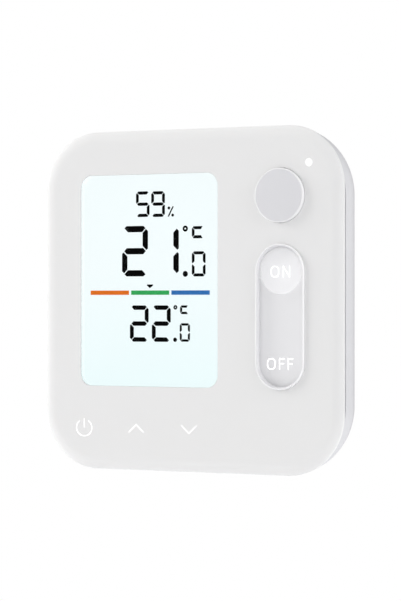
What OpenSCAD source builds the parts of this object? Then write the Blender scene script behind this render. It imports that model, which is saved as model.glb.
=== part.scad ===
// Wall thermostat: a square head unit that hangs on a wall plate.
// The frame has x to the right, z up and y into the wall; y = 0 is the wall.
// Depths named *_t are measured back from the flat of the front face.

/* [Case] */
// Width and height of the front
front_size = 90; // [86:1:96]
// Depth from the wall to the flat of the face
depth = 25; // [25:0.5:30]
// Corner radius of the front cover
front_corner = 16; // [8:0.5:17]
// Corner radius of the rear housing
rear_corner = 18; // [16:0.5:20]
// Width of the soft edge round the face
roll_w = 3.4; // [1:0.1:5]
// How far the soft edge falls back
roll_drop = 1; // [0.4:0.1:1.2]
// Open seam between the cover and the housing
seam = 0.6; // [0.3:0.1:0.9]
// Wall thickness of the rear housing
wall = 2; // [1.6:0.1:2.4]
// Inward taper of the rear housing
taper = 27.5; // [26:0.5:30]

/* [Display] */
// Width of the display window
window_w = 42.2; // [30:0.1:44]
// Height of the display window
window_h = 56.2; // [40:0.1:58]
// Centre of the window to the right of the middle
window_x = -12.4; // [-14:0.1:-10]
// Centre of the window above the middle
window_z = 5.3; // [0:0.1:7]

/* [Knob] */
// Diameter of the dial
knob_d = 14.1; // [12:0.1:15]
// How far the dial stands off the face
knob_proud = 1.2; // [0.8:0.1:2.5]
// Centre of the dial to the right of the middle
knob_x = 27.2; // [24:0.1:28]
// Centre of the dial above the middle
knob_z = 27; // [25:0.1:28]

/* [Slide switch] */
// Outside width of the raised rim
rim_w = 14.1; // [13:0.1:15]
// Travel of the thumb from ON to OFF
travel = 23.6; // [18:0.1:24]
// How far the rim stands off the face
rim_proud = 0.7; // [0.5:0.1:1]
// Diameter of the thumb
thumb_d = 12; // [11:0.1:12.1]
// Centre of the switch above the middle
switch_z = -4.2; // [-5:0.1:-3]

/* [Wall plate] */
// Distance between the two wall screws
screw_pitch = 60; // [56:1:60]
// Radius of the wall screw slots
slot_r = 2.1; // [1.8:0.1:2.2]
// Straight length between the slot end centres
slot_run = 2; // [1:0.1:2.2]
// Number of wire terminals
poles = 6; // [3:1:6]

/* [Hidden] */
$fn = 96;
eps = 0.01;
half = front_size / 2;
switch_x = knob_x;

// front cover
lip_t = 1.6;
plate_t = 2;
tongue_half = half - wall - 0.3;
tongue_corner = rear_corner - wall - 0.3;
tongue_w = 1.4;
tongue_t = 5;
boss_r = 2.4;
boss_at = [[16.8, 36.5], [37.4, 22], [-24.4, -34], [16.8, -33]];
key_at = [[-32.6, -34], [-16.2, -33.9], [0, -33.8]];
lamp_at = [35.4, 35.3];
lamp_r = 1.05;
snap_len = 12;
snap_t = [3.6, 4.4];

// rear housing
rear_t = lip_t + seam;
bend_r = 10;
bend_t = 4.64;
rim_t = depth - 1.6;
floor_t = [17.2, 18.7];
vent_count = 7;
vent_pitch = 5;

// display stack
window_corner = 3.3;
flange = 1.4;
flange_t = 1.2;
cell = [45.4, 61];
cell_t = [2.1, 3, 3.9];
frame_wall = 1.5;
guide = [43, 56, 2];
zebra_w = 1.6;

// circuit board
board_t = [6.9, 8.5];
board_half = 40;
board_corner = 13;
back_t = board_t[1] + 0.05;

// encoder and dial
shaft_r = 3;
press = 0.5;
enc_half = 6.2;
enc_t = 3.4;
fit = 0.05;

// slide switch
rim_r = rim_w / 2;
lip_r = rim_r - 0.8;
run = travel / 2;
well_r = lip_r + 0.55;
well_run = run + 2;
tray_t = [0.85, 1.8];
lip_under = 0.5;
thumb_t = 0.75;
arm = 0.2;
leg_in = well_r - 0.5;
leg_out = well_r - 0.1;
leg_half = 2;
car_t = [2.3, 5];

// wall plate, hinge and terminals
sheet = 2.5;
plate_half = half - 11;
plate_top = 30;
plate_corner = 9;
hinge_y = -4;
hinge_z = 33;
rod_r = 1.2;
rod_len = 54;
hook_x = 18;
hook_w = 6;
lug_x = [-25, -11, 11, 25];
lug_w = 3;
magnet_at = [[-26.5, -29], [26.5, -29]];
cable = [38, 22];
cable_z = 14;
pitch = 7;
block_z = [-25, -11];
block_y = -11;
pin_z = -13.2;
clamp_z = -19;

// ---- shared shapes ----

// an outline in x and z, given thickness between two depths
module slab(t0, t1)
  translate([0, t1 - depth, 0]) rotate([90, 0, 0]) linear_extrude(t1 - t0) children();

module rsq(hw, hh, r) {
  square([2 * (hw - r), 2 * hh], center = true);
  square([2 * hw, 2 * (hh - r)], center = true);
  for (x = [-1, 1], z = [-1, 1]) translate([x * (hw - r), z * (hh - r)]) circle(r);
}

module stadium(r, run) {
  square([2 * r, 2 * run], center = true);
  for (z = [-run, run]) translate([0, z]) circle(r);
}

// a square solid with round corners whose edge follows [inset, depth] points
module dish(hw, r, prof) {
  n = len(prof);
  right = [for (p = prof) [hw - p[0], p[1] - depth]];
  left = [for (i = [n - 1 : -1 : 0]) [prof[i][0] - hw, prof[i][1] - depth]];
  quarter = concat([[0, depth - prof[0][1]]], [for (p = prof) [r - p[0], depth - p[1]]],
    [[0, depth - prof[n - 1][1]]]);
  for (a = [0, 90]) rotate([0, a, 0])
    linear_extrude(2 * (hw - r), center = true) polygon(concat(right, left));
  for (a = [0 : 90 : 270]) rotate([0, a, 0]) translate([hw - r, 0, hw - r])
    rotate([90, 0, 0]) rotate_extrude(angle = 90) polygon(quarter);
}

// a closed loop of [radius, depth] section round a stadium
module loop(run, sec) {
  for (s = [0, 180]) rotate([0, s, 0]) {
    translate([0, 0, run]) rotate([90, 0, 0])
      rotate_extrude(angle = 180) polygon([for (p = sec) [p[0], depth - p[1]]]);
    linear_extrude(2 * run, center = true) polygon([for (p = sec) [p[0], p[1] - depth]]);
  }
}

// a turned solid about the y axis from [radius, depth] points
module turned(sec)
  rotate([90, 0, 0]) rotate_extrude() polygon([for (p = sec) [p[0], depth - p[1]]]);

function arc(cx, cy, r, a0, a1, n) =
  [for (i = [0 : n]) let (a = a0 + (a1 - a0) * i / n) [cx + r * cos(a), cy + r * sin(a)]];

roll_r = (roll_w * roll_w + roll_drop * roll_drop) / (2 * roll_drop);
roll_a = asin(roll_w / roll_r);
cover_prof = concat(arc(roll_w, roll_r, roll_r, 270, 270 - roll_a, 10), [[0, lip_t]]);

function shell_prof(off, t0, t1) = let (r = bend_r - off,
    bend = arc(bend_r, bend_t, r, 180, 180 - taper, 8), e = bend[8])
  concat([[off, t0]], bend, [[e[0] + (t1 - e[1]) * tan(taper), t1]]);

// ---- head: case ----

module front_cover() color("white") difference() {
  union() {
    dish(half, front_corner, cover_prof);
    slab(1, plate_t) rsq(tongue_half, tongue_half, tongue_corner);
    slab(plate_t - 0.5, tongue_t) difference() {
      rsq(tongue_half, tongue_half, tongue_corner);
      rsq(tongue_half - tongue_w, tongue_half - tongue_w, tongue_corner - tongue_w);
    }
    for (p = boss_at) slab(plate_t - 0.5, board_t[0]) translate(p) circle(boss_r);
    for (a = [0 : 90 : 270]) rotate([0, a, 0]) slab(snap_t[0], snap_t[1])
      translate([tongue_half - 0.5, -snap_len / 2]) square([1.05, snap_len]);
  }
  translate([window_x, 0, window_z]) {
    slab(-1, plate_t + 1) rsq(window_w / 2, window_h / 2, window_corner);
    slab(flange_t, plate_t + 1)
      rsq(window_w / 2 + flange + 0.1, window_h / 2 + flange + 0.1, window_corner + flange);
  }
  translate([knob_x, 0, knob_z]) slab(-1, plate_t + 1) circle(knob_d / 2 + 0.09);
  translate([switch_x, 0, switch_z]) {
    slab(-1, plate_t + 1) stadium(rim_r + 0.05, run);
    slab(0.6, plate_t + 1) stadium(well_r + 1.05, well_run);
  }
  slab(-1, plate_t + 1) translate(lamp_at) circle(lamp_r + 0.03);
  for (p = boss_at) slab(3.2, board_t[0] + 1) translate(p) circle(0.9);
}

module rear_housing() color("whitesmoke") difference() {
  union() {
    difference() {
      dish(half, rear_corner, shell_prof(0, rear_t, rim_t));
      dish(half, rear_corner, shell_prof(wall, rear_t - 1, rim_t + 1));
    }
    intersection() {
      dish(half, rear_corner, shell_prof(wall / 2, rear_t, rim_t));
      slab(floor_t[0], floor_t[1]) square(front_size, center = true);
    }
    for (p = magnet_at) slab(floor_t[0] + 0.5, depth - 3) translate(p) circle(4.2);
    for (x = lug_x) translate([x, hinge_y, hinge_z]) {
      rotate([0, 90, 0]) cylinder(r = 2.2, h = lug_w, center = true);
      translate([0, -1.5, 0]) cube([lug_w, 3, 4], center = true);
    }
  }
  translate([0, hinge_y, hinge_z]) rotate([0, 90, 0])
    cylinder(r = rod_r + 0.02, h = rod_len + 1, center = true);
  for (s = [-1, 1]) translate([s * hook_x, hinge_y - 2.5, hinge_z - 1])
    cube([hook_w + 1.2, 5, 7.4], center = true);
  slab(floor_t[0] - 1, floor_t[1] + 1)
    translate([0, (block_z[0] + block_z[1]) / 2]) square([44.6, 16.4], center = true);
  for (p = magnet_at) slab(depth - 4.65, depth) translate(p) circle(3.05);
  for (s = [-1, 1], i = [0 : vent_count - 1])
    translate([(i - (vent_count - 1) / 2) * vent_pitch, 7.8 - depth, s * half])
      cube([1.6, 4, 9], center = true);
  for (a = [0 : 90 : 270]) rotate([0, a, 0]) slab(snap_t[0] - 0.15, snap_t[1] + 0.15)
    translate([half - wall - 0.5, -snap_len / 2 - 1]) square([1, snap_len + 2]);
}

module hinge_rod() color("silver") translate([0, hinge_y, hinge_z]) rotate([0, 90, 0])
  cylinder(r = rod_r, h = rod_len, center = true);

module catch_magnets() color("dimgray")
  for (p = magnet_at) slab(depth - 4.6, depth - 3.05) translate(p) circle(3);

// ---- head: display ----

module display_window() color("azure") translate([window_x, 0, window_z]) {
  slab(0.03, plate_t) rsq(window_w / 2 - 0.05, window_h / 2 - 0.05, window_corner - 0.05);
  slab(flange_t + 0.03, plate_t)
    rsq(window_w / 2 + flange, window_h / 2 + flange, window_corner + flange);
}

module lcd_cell() color("lightcyan") translate([window_x, 0, window_z]) {
  slab(cell_t[0], cell_t[1]) square(cell, center = true);
  slab(cell_t[1] - eps, cell_t[2]) square([cell[0], cell[1] - 4], center = true);
}

module lcd_frame() color("white") translate([window_x, 0, window_z]) {
  fw = cell[0] / 2 + 0.25;
  fh = cell[1] / 2 + 0.25;
  slab(cell_t[0], board_t[0] - 0.05) difference() {
    rsq(fw + frame_wall, fh + frame_wall, 2.5);
    square([2 * fw, 2 * fh], center = true);
  }
  for (s = [-1, 1]) slab(6.15, board_t[0] - 0.05)
    translate([0, s * (guide[1] / 2 - 1)]) square([2 * fw + 1, 1.6], center = true);
}

module light_guide() color("honeydew") translate([window_x - 1.1, 0, window_z])
  slab(4, 4 + guide[2]) rsq(guide[0] / 2, guide[1] / 2, 1);

module backlight_leds() color("ivory")
  for (z = [-17, 0, 17])
    slab(4.3, board_t[0] - 0.02)
      translate([window_x + guide[0] / 2 - 0.2, window_z + z]) rsq(0.7, 1.8, 0.2);

module zebra_strips() color("dimgray")
  for (s = [-1, 1]) slab(cell_t[1] + 0.02, board_t[0] - 0.02)
    translate([window_x, window_z + s * (cell[1] / 2 - 1)]) square([43, zebra_w], center = true);

module lamp_lens() color("white") translate([lamp_at[0], 0, lamp_at[1]]) turned([
  [0, 0.02], [lamp_r - 0.15, 0.02], [lamp_r, 0.15], [lamp_r, 2.04], [2.1, 2.04],
  [2.1, 2.8], [lamp_r, 2.8], [lamp_r, 5.8], [0, 5.8]]);

module status_led() color("ivory")
  slab(6.1, board_t[0] - 0.02) translate(lamp_at) rsq(1, 0.65, 0.15);

module touch_posts() color("dimgray")
  for (p = key_at) translate([p[0], 0, p[1]]) turned([[0, plate_t + 0.02],
    [3, plate_t + 0.02], [3, 2.8], [2.3, 3.4], [2.3, 5.5], [3, 6.1],
    [3, board_t[0] - 0.02], [0, board_t[0] - 0.02]]);

// ---- head: dial ----

module dial_cap() color("gainsboro") translate([knob_x, 0, knob_z]) difference() {
  turned(concat([[0, -knob_proud]],
    [for (p = arc(knob_d / 2 - 0.45, 0.45 - knob_proud, 0.45, -90, 0, 6)) p],
    [[knob_d / 2, 1.4], [knob_d / 2 - 1, 1.4], [knob_d / 2 - 1, -0.2], [4.2, -0.2],
     [4.2, 1.4], [0, 1.4]]));
  slab(-0.25, 2) intersection() {
    circle(shaft_r + 0.02);
    translate([-4, -4]) square([8, 5.52]);
  }
}

module encoder_shaft() color("silver") translate([knob_x, 0, knob_z]) {
  slab(-0.2, 1.5) intersection() {
    circle(shaft_r);
    translate([-4, -4]) square([8, 5.5]);
  }
  turned([[0, 1.5 - eps], [shaft_r, 1.5 - eps], [shaft_r, 4.5], [4.4, 4.5], [4.4, 5.05],
    [shaft_r, 5.05], [shaft_r, 5.45], [0, 5.45]]);
}

module encoder_body() color("dimgray") translate([knob_x, 0, knob_z]) difference() {
  union() {
    slab(enc_t, board_t[0] - 0.02) rsq(enc_half, enc_half, 0.6);
    slab(2.4, enc_t + 0.5) circle(4.2);
    for (s = [-1, 1]) slab(enc_t - 0.3, board_t[0] - 0.02)
      translate([s * (enc_half - 0.2), 0]) square([1, 5], center = true);
  }
  turned([[0, 2], [shaft_r + fit, 2], [shaft_r + fit, 4.3], [4.7, 4.3], [4.7, 5.65],
    [shaft_r + 0.3, 5.65], [shaft_r + 0.3, 6.1], [1.85, 6.1], [1.85, 6.85], [0, 6.85]]);
}

module push_plunger() color("black") translate([knob_x, 0, knob_z])
  turned([[0, 5.5], [2.6, 5.5], [2.6, 5.58], [1.8, 5.58], [1.8, 6.3], [0, 6.3]]);

// ---- head: slide switch ----

module switch_rim() color("white") translate([switch_x, 0, switch_z]) difference() {
  crown = arc(rim_r - 0.3, 0.3 - rim_proud, 0.3, 0, -90, 5);
  brow = arc(lip_r + 0.5, 0.5 - rim_proud, 0.5, -90, -180, 6);
  union() {
    loop(run, concat([[rim_r, 0.8]], crown, brow,
      [[lip_r, lip_under - 0.15], [lip_r + 0.3, lip_under], [lip_r + 0.3, 0.8]]));
    slab(0.65, 3) difference() {
      stadium(well_r + 1, well_run);
      stadium(well_r, well_run);
    }
    slab(0.65, 0.8) difference() {
      stadium(well_r + 1, well_run);
      stadium(lip_r + 0.3, run);
    }
  }
  slab(lip_under, 3.1) square([2 * well_r, 2 * well_run + 0.2], center = true);
}

module switch_tray() color("whitesmoke") translate([switch_x, 0, switch_z]) difference() {
  slab(tray_t[0], tray_t[1]) difference() {
    stadium(well_r - 0.02, well_run);
    for (s = [-1, 1]) translate([s * (leg_in - 0.1 + 0.5), 0])
      square([1, 2 * (run + leg_half + 0.2)], center = true);
  }
  translate([0, tray_t[0] - depth - 51.3, 0]) cylinder(r = 51.6, h = 60, center = true, $fn = 180);
}

module switch_thumb() color("ghostwhite")
  translate([switch_x, 0, switch_z + run]) {
    dip = arc(0, thumb_t - 37.06, 36.5, 90, 90 - asin(5.5 / 36.5), 6);
    turned(concat(dip, arc(thumb_d / 2 - 0.3, thumb_t - 0.67, 0.3, -90, 0, 4),
      [[thumb_d / 2, thumb_t], [0, thumb_t]]));
    for (s = [0, 180]) rotate([0, s, 0]) {
      slab(thumb_t - arm, thumb_t) translate([4, -leg_half]) square([leg_out - 4, 2 * leg_half]);
      slab(thumb_t - arm, 5.5) translate([leg_in, -leg_half]) square([0.4, 2 * leg_half]);
      slab(5.05, 5.5) translate([leg_in - 0.8, -leg_half]) square([1, 2 * leg_half]);
    }
  }

module switch_carriage() color("gray") translate([switch_x, 0, switch_z + run])
  difference() {
    slab(car_t[0], car_t[1]) rsq(leg_in - 0.04, 5, 0.8);
    slab(car_t[1] - 1, car_t[1] + 1) for (s = [-1, 1]) translate([0, s * 3.6])
      square([7, 1.4], center = true);
  }

module switch_wiper() color("gold") translate([switch_x, 0, switch_z + run]) {
  slab(car_t[1] + 0.02, car_t[1] + 0.27) rsq(3.6, 2.4, 0.4);
  for (x = [-2.4, 0, 2.4]) translate([x, car_t[1] + 0.92 - depth, 0]) rotate([0, 90, 0])
    difference() {
      cylinder(r = 0.86, h = 1.2, center = true, $fn = 48);
      cylinder(r = 0.64, h = 2, center = true, $fn = 48);
    }
}

module switch_tracks() color("gold") translate([switch_x, 0, switch_z])
  for (x = [-2.4, 0, 2.4]) slab(6.84, board_t[0])
    translate([x, 0]) square([1.5, travel + 8], center = true);

// ---- head: electronics ----

module main_board() color("seagreen") slab(board_t[0], board_t[1]) difference() {
  rsq(board_half, board_half, board_corner);
  for (p = boss_at) translate(p) circle(1.3);
  for (s = [-1, 1]) translate([knob_x + s * 3.5, knob_z - 7.4]) circle(0.5);
  translate([-34, 34]) circle(1.5);
}

module board_screws() color("silver") for (p = boss_at) translate([p[0], 0, p[1]])
  difference() {
    turned([[0, 4.2], [0.85, 4.6], [0.85, back_t], [2.1, back_t], [2.1, back_t + 0.9],
      [1.6, back_t + 1.3], [0, back_t + 1.3]]);
    slab(back_t + 0.6, back_t + 2) {
      square([2.2, 0.5], center = true);
      square([0.5, 2.2], center = true);
    }
  }

module relay() color("black") translate([-21, 0, 20]) {
  slab(back_t + 0.4, back_t + 8) rsq(9.9, 7.6, 0.8);
  for (x = [-7.5, 0, 7.5], z = [-5.5, 5.5]) slab(back_t, back_t + 1)
    translate([x, z]) circle(0.7);
}

module transformer() color("goldenrod") translate([4, 0, 21]) {
  slab(back_t, back_t + 1.6) rsq(8.8, 9.4, 0.6);
  slab(back_t + 1, back_t + 6.4) rsq(8.2, 5.6, 1.4);
  for (s = [-1, 1]) slab(back_t + 1, back_t + 8) translate([0, s * 7.2]) rsq(8.4, 1.5, 0.4);
  slab(back_t + 6.2, back_t + 8) rsq(2.6, 8.6, 0.4);
}

module filter_capacitors() color("midnightblue")
  for (p = [[24, 27], [24, 16]]) translate([p[0], 0, p[1]]) turned([
    [0, back_t], [4, back_t], [4, back_t + 0.9], [3.7, back_t + 1.3], [4, back_t + 1.7],
    [4, back_t + 7.4], [3.6, back_t + 7.8], [0, back_t + 7.8]]);

module surge_block() color("royalblue") translate([-24, 0, 3]) slab(back_t, back_t + 7.6)
  rsq(6.6, 3, 0.9);

module fuse() color("tan") translate([-5, back_t + 2.9 - depth, 3]) rotate([0, 90, 0]) {
  cylinder(r = 2.3, h = 9.4, center = true);
  for (s = [-1, 1]) translate([0, 0, s * 5]) cylinder(r = 2.7, h = 3, center = true);
}

module controller_chip() color("black") translate([-16, 0, -32.6]) {
  slab(back_t + 0.15, back_t + 1.5) rsq(4.4, 4.4, 0.3);
  for (a = [0 : 90 : 270], i = [-5 : 5]) rotate([0, a, 0]) slab(back_t, back_t + 0.6)
    translate([4, i * 0.7 - 0.15]) square([1.3, 0.3]);
}

module radio_module() color("silver") translate([4, 0, -33]) {
  slab(back_t, back_t + 0.9) rsq(8, 4.8, 0.3);
  slab(back_t + 0.8, back_t + 2.6) translate([-1.6, 0]) rsq(6, 4.3, 0.5);
}

module air_sensor() color("darkslategray") translate([24, 0, -36]) difference() {
  slab(back_t, back_t + 1.2) rsq(1.8, 1.8, 0.2);
  slab(back_t + 0.7, back_t + 2) circle(0.6);
}

module contact_springs() color("gold")
  for (i = [0 : poles - 1]) translate([(i - (poles - 1) / 2) * pitch, 0, pin_z]) {
    slab(back_t, back_t + 0.6) square([3.4, 3], center = true);
    slab(back_t + 0.3, depth + block_y - 0.6) square([2.4, 0.5], center = true);
    translate([0, block_y - 0.65, 0]) rotate([0, 90, 0]) cylinder(r = 0.6, h = 2.4, center = true, $fn = 48);
  }

// ---- wall side ----

module hook() {
  difference() {
    union() {
      translate([0, hinge_y, hinge_z]) rotate([0, 90, 0])
        cylinder(r = 2.2, h = hook_w, center = true);
      translate([-hook_w / 2, -3.5, plate_top - 2]) cube([hook_w, 3, 5]);
    }
    translate([0, hinge_y, hinge_z]) rotate([0, 90, 0])
      cylinder(r = rod_r + 0.06, h = hook_w + 1, center = true);
    translate([0, hinge_y, hinge_z + 2])
      cube([hook_w + 1, 2 * rod_r + 0.12, 4], center = true);
  }
}

module wall_plate() color("whitesmoke") {
  mid = (plate_top - plate_half) / 2;
  difference() {
    slab(depth - sheet, depth) translate([0, mid])
      rsq(plate_half, (plate_top + plate_half) / 2, plate_corner);
    slab(depth - sheet - 1, depth + 1) {
      translate([0, cable_z]) rsq(cable[0] / 2, cable[1] / 2, 2);
      for (s = [-1, 1], e = [-1, 1]) translate([s * screw_pitch / 2 + e * slot_run / 2, 0])
        circle(slot_r);
      for (s = [-1, 1]) translate([s * screw_pitch / 2, 0])
        square([slot_run, 2 * slot_r], center = true);
    }
    for (p = magnet_at) slab(depth - sheet - 1, depth - 1.45) translate(p) circle(3.25);
  }
  for (s = [-1, 1]) translate([s * hook_x, 0, 0]) hook();
}

module keeper_discs() color("silver")
  for (p = magnet_at) slab(depth - sheet, depth - 1.5) translate(p) circle(3.2);

module clamp_box(g, hollow) difference() {
  translate([-2.2 - g, -8.3 - g, clamp_z - 3.3 - g]) cube([4.4 + 2 * g, 4.9 + 2 * g, 6.6 + 2 * g]);
  if (hollow) translate([-1.6, -7.3, clamp_z - 5]) cube([3.2, 3.2, 10]);
}

module bar(g) {
  translate([-2 - g, block_y - g, pin_z - 1.3 - g]) cube([4 + 2 * g, 0.5 + 2 * g, 2.2 + 2 * g]);
  translate([-1 - g, block_y, pin_z - 1.3 - g]) cube([2 + 2 * g, 2.4 + g, 0.5 + 2 * g]);
}

module terminal_block() color("dimgray") difference() {
  w = poles * pitch;
  translate([-w / 2, block_y, block_z[0]])
    cube([w, -block_y - sheet - 0.02, block_z[1] - block_z[0]]);
  for (i = [0 : poles - 1]) translate([(i - (poles - 1) / 2) * pitch, 0, 0]) {
    clamp_box(0.1, false);
    translate([0, block_y - 1, clamp_z]) rotate([-90, 0, 0]) cylinder(r = 2.1, h = 4);
    translate([0, -5.7, clamp_z]) cylinder(r = 1.6, h = 20);
    bar(0.03);
  }
  for (i = [1 : poles - 1]) translate([(i - poles / 2) * pitch, block_y, 0])
    cube([0.8, 1.6, 60], center = true);
}

module terminal_clamps() color("khaki")
  for (i = [0 : poles - 1]) translate([(i - (poles - 1) / 2) * pitch, 0, 0]) difference() {
    clamp_box(0, true);
    translate([0, -9, clamp_z]) rotate([-90, 0, 0]) cylinder(r = 1.3, h = 2.5);
  }

module terminal_screws() color("silver")
  for (i = [0 : poles - 1]) translate([(i - (poles - 1) / 2) * pitch, 0, clamp_z])
    difference() {
      union() {
        translate([0, -10.2, 0]) rotate([-90, 0, 0]) cylinder(r = 1.9, h = 1.85);
        translate([0, -8.5, 0]) rotate([-90, 0, 0]) cylinder(r = 1.25, h = 2.3);
      }
      translate([0, -10.2, 0]) rotate([0, 20 * i, 0]) cube([5, 1.2, 0.6], center = true);
    }

module contact_bars() color("gold")
  for (i = [0 : poles - 1]) translate([(i - (poles - 1) / 2) * pitch, 0, 0]) bar(0);

front_cover();
display_window();
lcd_cell();
lcd_frame();
light_guide();
backlight_leds();
zebra_strips();
lamp_lens();
status_led();
touch_posts();
dial_cap();
encoder_shaft();
encoder_body();
push_plunger();
switch_rim();
switch_tray();
switch_thumb();
switch_carriage();
switch_wiper();
switch_tracks();
main_board();
board_screws();
relay();
transformer();
filter_capacitors();
surge_block();
fuse();
controller_chip();
radio_module();
air_sensor();
contact_springs();
rear_housing();
hinge_rod();
catch_magnets();
wall_plate();
keeper_discs();
terminal_block();
terminal_clamps();
terminal_screws();
contact_bars();
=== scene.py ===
# A square wall thermostat. Its head hangs by a steel rod on the hooks of a wall plate.
# Everything is in metres: x to the right, z up, y into the wall, and the wall at y = 0.
import math

import bmesh
import bpy
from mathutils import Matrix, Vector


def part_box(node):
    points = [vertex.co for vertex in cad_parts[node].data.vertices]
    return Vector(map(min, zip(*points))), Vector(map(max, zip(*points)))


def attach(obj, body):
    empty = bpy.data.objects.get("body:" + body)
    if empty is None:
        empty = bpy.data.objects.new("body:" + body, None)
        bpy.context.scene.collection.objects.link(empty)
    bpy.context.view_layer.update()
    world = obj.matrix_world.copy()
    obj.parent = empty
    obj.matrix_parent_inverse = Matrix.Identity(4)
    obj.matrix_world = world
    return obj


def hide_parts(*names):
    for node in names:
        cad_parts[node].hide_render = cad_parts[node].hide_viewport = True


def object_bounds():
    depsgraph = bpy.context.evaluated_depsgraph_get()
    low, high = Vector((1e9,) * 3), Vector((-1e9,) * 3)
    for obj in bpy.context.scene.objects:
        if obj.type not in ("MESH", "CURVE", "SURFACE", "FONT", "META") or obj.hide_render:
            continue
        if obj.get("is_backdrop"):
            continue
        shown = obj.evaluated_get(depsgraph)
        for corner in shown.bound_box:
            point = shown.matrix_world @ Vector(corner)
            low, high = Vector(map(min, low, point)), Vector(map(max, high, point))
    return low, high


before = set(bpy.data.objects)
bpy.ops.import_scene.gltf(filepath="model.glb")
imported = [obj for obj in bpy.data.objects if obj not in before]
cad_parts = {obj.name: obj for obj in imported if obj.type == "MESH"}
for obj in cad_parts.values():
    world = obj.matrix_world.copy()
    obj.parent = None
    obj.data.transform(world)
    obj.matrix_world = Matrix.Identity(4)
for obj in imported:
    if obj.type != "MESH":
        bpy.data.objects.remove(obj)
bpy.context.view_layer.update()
scene = bpy.context.scene

# ---- Studio ----
# A white room with a pale floor well below the thermostat, a large soft lamp high on the left,
# a weaker one on the right, and a camera level with the middle of the case, 30 degrees round
# to its right.
MM = 0.001


def srgb(code):
    """#RRGGBB as linear red, green, blue and an alpha of 1."""
    parts = [int(code[i:i + 2], 16) / 255 for i in (1, 3, 5)]
    return [c / 12.92 if c <= 0.04045 else ((c + 0.055) / 1.055) ** 2.4 for c in parts] + [1.0]


def feed(node, values):
    """Sets inputs of a node, each to a plain value or from another node's output."""
    for key, value in values.items():
        if isinstance(value, bpy.types.NodeSocket):
            node.id_data.links.new(value, node.inputs[key])
        else:
            node.inputs[key].default_value = value


def add(tree, kind, links=None, **settings):
    """Adds one node. links gives an input's value, or the output that feeds it."""
    node = tree.nodes.new(kind)
    for key, value in settings.items():
        setattr(node, key, value)
    feed(node, links or {})
    return node


def calc(tree, operation, *values):
    """The result of one sum on numbers or outputs."""
    return add(tree, "ShaderNodeMath", dict(enumerate(values)), operation=operation).outputs[0]


def ramp(tree, value, start, stop, low=0.0, high=1.0, **settings):
    """A number that runs from low to high as value runs from start to stop."""
    return add(tree, "ShaderNodeMapRange", {"Value": value, "From Min": start, "From Max": stop,
               "To Min": low, "To Max": high}, **settings).outputs[0]


def noise(tree, place, size, detail):
    """Soft noise with features size (mm) across."""
    return add(tree, "ShaderNodeTexNoise", {"Vector": place, "Scale": 1 / (size * MM),
               "Detail": detail}).outputs[0]


def blend(tree, share, low, high):
    """A colour between low and high, each a #RRGGBB code or an output."""
    low, high = (srgb(c) if isinstance(c, str) else c for c in (low, high))
    return add(tree, "ShaderNodeMix", {0: share, 6: low, 7: high}, data_type="RGBA").outputs[2]


def spot(tree):
    """Where a point lies on its object."""
    return add(tree, "ShaderNodeTexCoord").outputs["Object"]


def fresh(name):
    """A new material with its node tree and its shader."""
    material = bpy.data.materials.new(name)
    material.use_nodes = True
    return material, material.node_tree, material.node_tree.nodes["Principled BSDF"]


def lit(shader, code, strength):
    """Gives a surface a light of its own."""
    feed(shader, {"Emission Color": srgb(code), "Emission Strength": strength})


def plastic(name, tone, tone_low, rough, grain=0.3, relief=0.004, scatter=0.0):
    """A moulded plastic: grain (mm) left by the spark-eroded mould, relief (mm) high,
    and a slow drift of tone and gloss across the part. Returns it and its shader."""
    material, tree, shader = fresh(name)
    place = spot(tree)
    drift = noise(tree, place, 45, 1.0)
    bump = add(tree, "ShaderNodeBump", {"Height": noise(tree, place, grain, 3.0), "Strength": 1.0,
               "Distance": relief * MM})
    feed(shader, {"Base Color": blend(tree, drift, tone_low, tone),
                  "Roughness": ramp(tree, drift, 0.3, 0.7, rough - 0.01, rough + 0.01),
                  "Normal": bump.outputs[0]})
    if scatter:
        feed(shader, {"Subsurface Weight": scatter, "Subsurface Radius": (1.0, 0.95, 0.9),
                      "Subsurface Scale": 1.2 * MM})
    return material, shader


scene.view_settings.view_transform = "Standard"
world = bpy.data.worlds.new("white_room")
world.use_nodes = True
scene.world = world
sky = world.node_tree
sky.nodes.clear()
path = add(sky, "ShaderNodeLightPath")
backdrop = add(sky, "ShaderNodeBackground", {"Color": srgb("#FFFFFF"), "Strength": 1.0})
toward = add(sky, "ShaderNodeTexCoord").outputs["Generated"]
aim = add(sky, "ShaderNodeSeparateXYZ", {"Vector": toward})
# the room is brightest in a ring level with the face, so rounded edges catch more light
ring = ramp(sky, calc(sky, "ABSOLUTE", aim.outputs["Y"]), 0.0, 0.45, 1.0, 0.0,
            interpolation_type="SMOOTHSTEP")
fill, mirror = (add(sky, "ShaderNodeBackground", {"Color": srgb("#F6F6F7"),
                    "Strength": calc(sky, "MULTIPLY_ADD", ring, gain, base)})
                for gain, base in ((0.37, 0.595), (1.0, 0.04)))
bounce = add(sky, "ShaderNodeMixShader", {0: path.outputs["Is Glossy Ray"], 1: fill.outputs[0],
             2: mirror.outputs[0]})
seen = add(sky, "ShaderNodeMixShader", {0: path.outputs["Is Camera Ray"], 1: bounce.outputs[0],
           2: backdrop.outputs[0]})
add(sky, "ShaderNodeOutputWorld", {"Surface": seen.outputs[0]})

for name, across, watts, stands, tint in (
        ("soft_lamp", 0.5, 7.0, (-0.95, -0.32, 0.5), (1.0, 0.99, 0.97)),
        ("side_lamp", 0.6, 3.2, (0.9, -0.2, 0.35), (1.0, 1.0, 1.0))):
    light = bpy.data.lights.new(name, "AREA")
    light.shape = "DISK"
    light.size = across
    light.energy = watts
    light.color = tint
    lamp = bpy.data.objects.new(name, light)
    scene.collection.objects.link(lamp)
    lamp.location = stands
    lamp.rotation_euler = (-lamp.location).to_track_quat("-Z", "Y").to_euler()
    # the large lamp leaves no glare disc in the window when the head is swung out
    lamp.visible_glossy = name != "soft_lamp"

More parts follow.
